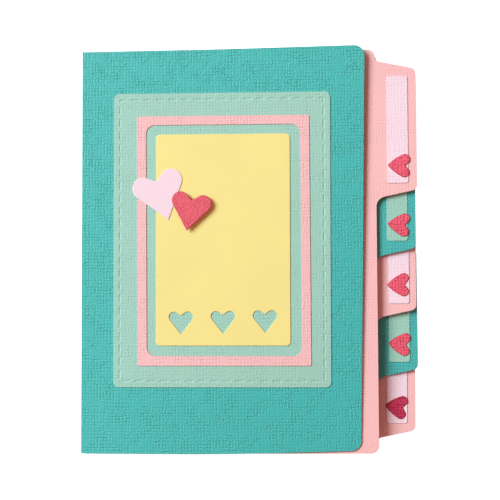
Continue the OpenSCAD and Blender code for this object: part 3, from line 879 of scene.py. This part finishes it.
class ALBUM_OT_centre_panel(bpy.types.Operator):
    """Builds the centre panel with its three cut-out hearts"""

    bl_idname = "album.centre_panel"
    bl_label = "Centre panel"

    def execute(self, context):
        s = context.scene.album_sizes
        width, height = (size - 2 * EDGE for size in panel_size(s))
        pitch, middle = mm(s.cutout_pitch), mm(s.cutout_rise) - panel_size(s)[1] / 2
        lattice, index, (low, left) = panel_lattice(width, height, mm(s.panel_corner) - EDGE, pitch, middle)
        cells = np.stack([index[:-1, :-1], index[:-1, 1:], index[1:, 1:], index[1:, :-1]], -1)
        keep = np.ones(cells.shape[:2], bool)
        keep[low : low + CELLS, left : left + CUTOUTS * CELLS] = False
        points, quads, loops, total = [lattice], [cells[keep]], [border(index)], index.size
        shape = heart(mm(s.cutout_w))
        shape = turned(shape + outward(shape) * EDGE, s.cutout_turn)
        for i in range(CUTOUTS):
            first = left + i * CELLS
            around = border(index[low : low + CELLS + 1, first : first + CELLS + 1])
            centre = turned(np.array([(i - (CUTOUTS - 1) / 2) * pitch, 0]), s.cutout_turn, (0, middle))
            points.append((hole_rings(lattice[around] - centre, shape) + centre).reshape(-1, 2))
            chain = [around, *(total + np.arange(len(points[-1]))).reshape(len(HOLE_RINGS), -1)]
            quads.append(band_faces(chain))
            loops.append(chain[-1][::-1])
            total += len(points[-1])
        shell = Shell.lattice(np.concatenate(points) + middles(s)[2], np.concatenate(quads), loops, CARD_T, CARD_T)
        on_cover(context, "heart_cut_panel", shell, "yellow_card", "centre_panel")
        return {"FINISHED"}


class ALBUM_OT_cover_hearts(bpy.types.Operator):
    """Builds the flat heart, the foam pad and the raised heart on the panel's upper corner"""

    bl_idname = "album.cover_hearts"
    bl_label = "Cover hearts"

    def execute(self, context):
        s = context.scene.album_sizes
        width, height = panel_size(s)
        corner = middles(s)[2] + (-width / 2, height / 2)
        at = corner + s.large_heart_at
        large = turned(heart(mm(s.large_heart_w)), s.large_heart_turn, at)
        shell = Shell.card(large, CARD_T, 2 * CARD_T, width=0.12, drop=0.12, rings=8, centre=at)
        on_cover(context, "flat_heart", shell, "blush_card", "large_heart")
        at = corner + s.raised_heart_at
        side, thick, turn = mm(s.foam_w) / 2, mm(s.foam_t), s.raised_heart_turn
        pad = soft_outline([(x * side, y * side, CRISP_CORNER) for x, y in ((-1, -1), (1, -1), (1, 1), (-1, 1))], 1)
        shell = Shell.card(turned(pad, turn, at), thick, 2 * CARD_T, width=0.05, drop=0.1, rings=3)
        foam = foam_finish("white_foam", tuple(context.scene.album_colours.foam))
        build("foam_pad", shell, cover_lay(s).place, foam, "front", "foam_square")
        raised = turned(heart(mm(s.raised_heart_w)), turn, at)
        shell = Shell.card(raised, CARD_T, 2 * CARD_T + thick, width=0.3, drop=0.2, rings=8, centre=at)
        on_cover(context, "raised_red_heart", shell, "red_card", "raised_heart")
        return {"FINISHED"}


FILLET_ROOM = 0.05
LEAF_CORE_X = 80


def tab_middle(s, k):
    """Height of tab k's middle: the tabs step down evenly from head to foot."""
    step = (COVER_H - mm(s.tab_margin) - mm(s.tab_foot_margin) - mm(s.tab_base)) / (LEAVES - 1)
    return (COVER_H - mm(s.tab_base)) / 2 - mm(s.tab_margin) - (k - 1) * step


def tab_edge(s):
    """Length of a tab's outer edge."""
    return mm(s.tab_base) - 2 * mm(s.tab_out) * math.tan(s.tab_slope)


def leaf_loop(s, k):
    """Outline of leaf k: a sheet from its glued edge to its fore edge, with one sloped tab. A hollow fillet takes
    each shoulder into the fore edge, as large as the room beside the leaf's corner allows."""
    half, middle, back, edge = COVER_H / 2 - mm(s.leaf_short), tab_middle(s, k), mm(s.leaf_setback), mm(s.leaf_reach)
    out, corner, tab_corner = edge + mm(s.tab_out), mm(s.leaf_corner), mm(s.tab_corner)
    trim, lean, base, tip = s.tab_trim[k - 1], s.tab_lean[k - 1], mm(s.tab_base) / 2, tab_edge(s) / 2
    low, high = middle - base + trim, middle + base

    def fillet(room):
        run = math.tan(math.pi / 4 - s.tab_slope / 2)
        return max(0.0, min(mm(s.tab_fillet), (room - corner - FILLET_ROOM) / run))

    return soft_outline([
        (back, -half + mm(s.leaf_taper), CRISP_CORNER), (edge, -half, corner), (edge, low, fillet(low + half)),
        (out, middle - tip + trim, tab_corner), (out - lean, middle + tip, tab_corner),
        (edge, high, fillet(half - high)), (edge, half, corner), (back, half, CRISP_CORNER)], 2.5)


class ALBUM_OT_tab_leaves(bpy.types.Operator):
    """Builds the five staggered tab leaves"""

    bl_idname = "album.tab_leaves"
    bl_label = "Tab leaves"

    def execute(self, context):
        s = context.scene.album_sizes
        for k in range(1, LEAVES + 1):
            kind, slot = ("pink_leaf_card", "pink_card") if k % 2 else ("teal_tab_card", "teal_leaf_card")
            shell = Shell.card(leaf_loop(s, k), mm(s.leaf_t), 0, centre=(LEAF_CORE_X, tab_middle(s, k)), rings=16)
            on_leaf(context, k, "tab_leaf", shell, kind, "leaf")
        return {"FINISHED"}


def label_box(s, k):
    """Middle, width and height of the label on tab k."""
    x = mm(s.leaf_reach) + mm(s.tab_out) - mm(s.label_margin) - mm(s.label_w) / 2 + s.label_out[k - 1]
    return np.array([x, tab_middle(s, k) + s.label_up[k - 1]]), mm(s.label_w), tab_edge(s) - 2 * mm(s.label_end)


class ALBUM_OT_labels(bpy.types.Operator):
    """Builds the label strips on the tabs"""

    bl_idname = "album.labels"
    bl_label = "Labels"

    def execute(self, context):
        s = context.scene.album_sizes
        for k in range(1, LEAVES + 1):
            kind, slot = ("blush_label_card", "blush_card") if k % 2 else ("mint_label_card", "mint_card")
            middle, width, height = label_box(s, k)
            loop = round_rectangle([width], [height], [mm(s.label_corner)], LABEL_CUTS)[0] + middle
            shell = Shell.card(loop, CARD_T, mm(s.leaf_t), rings=6)
            on_leaf(context, k, "label_strip", shell, kind, "label")
        return {"FINISHED"}


class ALBUM_OT_tab_hearts(bpy.types.Operator):
    """Builds the small heart on each label"""

    bl_idname = "album.tab_hearts"
    bl_label = "Tab hearts"

    def execute(self, context):
        s = context.scene.album_sizes
        for k in range(1, LEAVES + 1):
            middle, _, height = label_box(s, k)
            at = middle + (s.tab_heart_out[k - 1], mm(s.tab_heart_rise) - height / 2 + s.tab_heart_up[k - 1])
            turn = math.radians(s.tab_heart_turn[k - 1] - 90)
            loop = turned(heart(mm(s.tab_heart_w), s.tab_heart_bulge), turn, at)
            shell = Shell.card(loop, CARD_T, mm(s.leaf_t) + CARD_T, width=0.32, drop=0.25, rings=6, centre=at)
            # The last tab's heart takes the darker red: painted shade from the leaves above it.
            kind = "deep_red_card" if k == LEAVES else "tab_red_card"
            on_leaf(context, k, "small_heart", shell, kind, "tab_heart")
        return {"FINISHED"}


# The stage, in metres, watts and radians. The focal length and the sensor are in mm.
FLOOR_HALF = 4.0
LAMP_AT, LAMP_SIZE = (-10.16, 5.32, 9.68), 7.5
LAMP_POWER, LAMP_TINT = 2925.0, (0.8, 1.0, 1.05)
FILL_COLOUR, FILL_STRENGTH = (1.0, 0.46, 0.38, 1.0), 0.43
CAMERA_AT, CAMERA_TURN = (0.02394, -0.02591, 0.6), (0.0442, 0.0193, -0.0015)
SENSOR, FOCAL_LENGTH = 36.0, 96.78024


class ALBUM_OT_stage(bpy.types.Operator):
    """Sets the pale floor, the soft studio light and the camera"""

    bl_idname = "album.stage"
    bl_label = "Stage"

    def execute(self, context):
        scene = context.scene
        scene.view_settings.view_transform = "Standard"
        floor = bpy.data.meshes.new("floor")
        side = (-FLOOR_HALF, FLOOR_HALF)
        floor.from_pydata([(x, y, 0) for y in side for x in side], [], [(0, 1, 3, 2)])
        floor.materials.append(floor_finish())
        ground = bpy.data.objects.new("floor", floor)
        scene.collection.objects.link(ground)
        self.room(scene)
        self.lamp(scene)
        lens = bpy.data.cameras.new("camera")
        lens.sensor_width, lens.lens = SENSOR, FOCAL_LENGTH
        lens.clip_start, lens.clip_end = 0.01, 20.0
        camera = bpy.data.objects.new("camera", lens)
        camera.location, camera.rotation_euler = CAMERA_AT, CAMERA_TURN
        scene.collection.objects.link(camera)
        scene.camera = camera
        return {"FINISHED"}

    @staticmethod
    def room(scene):
        """A room that looks white and fills the shadows with warm light."""
        world = bpy.data.worlds.new("soft_room")
        world.use_nodes = True
        tree = world.node_tree
        tree.nodes.clear()
        kinds = ("LightPath", "Background", "Background", "MixShader", "OutputWorld")
        path, fill, shown, mix, out = (tree.nodes.new("ShaderNode" + kind) for kind in kinds)
        shown.inputs["Color"].default_value = WHITE
        fill.inputs["Color"].default_value = FILL_COLOUR
        fill.inputs["Strength"].default_value = FILL_STRENGTH
        sources = (path.outputs["Is Camera Ray"], fill.outputs[0], shown.outputs[0])
        for source, target in zip((*sources, mix.outputs[0]), (*mix.inputs, out.inputs["Surface"])):
            tree.links.new(source, target)
        scene.world = world

    @staticmethod
    def lamp(scene):
        """A square soft box that faces the album."""
        data = bpy.data.lights.new("key", "AREA")
        data.shape, data.size, data.energy, data.color = "SQUARE", LAMP_SIZE, LAMP_POWER, LAMP_TINT
        lamp = bpy.data.objects.new("key", data)
        lamp.location = LAMP_AT
        lamp.rotation_mode = "QUATERNION"
        lamp.rotation_quaternion = (-lamp.location).to_track_quat("-Z", "Y")
        scene.collection.objects.link(lamp)


OPERATORS = (ALBUM_OT_fixed_cards, ALBUM_OT_front_cover, ALBUM_OT_stitched_mat, ALBUM_OT_window_frame,
             ALBUM_OT_centre_panel, ALBUM_OT_cover_hearts, ALBUM_OT_tab_leaves, ALBUM_OT_labels,
             ALBUM_OT_tab_hearts, ALBUM_OT_stage)


class ALBUM_PT_panel(bpy.types.Panel):
    """Lists the album's pieces in the sidebar."""

    bl_idname = "ALBUM_PT_panel"
    bl_label = "Tabbed card album"
    bl_space_type = "VIEW_3D"
    bl_region_type = "UI"
    bl_category = "Album"

    def draw(self, context):
        for settings in (context.scene.album_sizes, context.scene.album_colours):
            column = self.layout.column(align=True)
            for name in settings.__annotations__:
                column.prop(settings, name)
        for operator in OPERATORS:
            self.layout.operator(operator.bl_idname)


CLASSES = (AlbumSizes, AlbumColours, *OPERATORS, ALBUM_PT_panel)


def register():
    for cls in CLASSES:
        bpy.utils.register_class(cls)
    bpy.types.Scene.album_sizes = bpy.props.PointerProperty(type=AlbumSizes)
    bpy.types.Scene.album_colours = bpy.props.PointerProperty(type=AlbumColours)


def unregister():
    del bpy.types.Scene.album_colours
    del bpy.types.Scene.album_sizes
    for cls in reversed(CLASSES):
        bpy.utils.unregister_class(cls)


def main():
    """Registers the add-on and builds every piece."""
    register()
    for operator in OPERATORS:
        group, name = operator.bl_idname.split(".")
        getattr(getattr(bpy.ops, group), name)()


if __name__ == "__main__":
    main()
